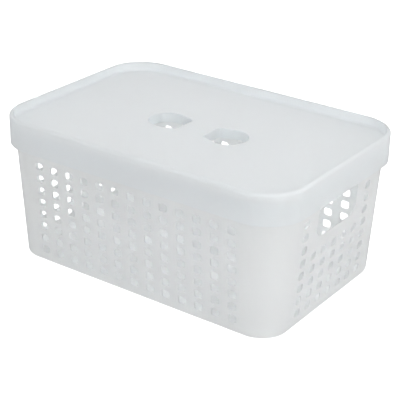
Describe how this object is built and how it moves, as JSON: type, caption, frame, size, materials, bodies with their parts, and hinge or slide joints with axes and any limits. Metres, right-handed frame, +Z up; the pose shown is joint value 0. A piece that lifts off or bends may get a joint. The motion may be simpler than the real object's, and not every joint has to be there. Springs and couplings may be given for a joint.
{
  "type": "perforated storage bin",
  "caption": "Perforated rectangular storage bin with rounded corners, a handle slot in each short wall, and a lift-off lid with a sunk panel and collared finger openings.",
  "frame": {"origin": "centre of the flat base on which the bin stands", "axes": "+X along the long side, +Y along the short side, +Z up"},
  "size_m": [0.38, 0.2562, 0.1714],
  "materials": {
    "basket_plastic": "frosted, translucent white",
    "lid_plastic": "frosted, translucent white"
  },
  "bodies": {
    "basket": {"basket": "basket_plastic"},
    "lid": {"lid": "lid_plastic"}
  },
  "joints": [
    {"name": "lid_lift", "type": "slide", "parent": "basket", "child": "lid", "axis": [0, 0, 1], "range_m": [0, 0.2]}
  ]
}
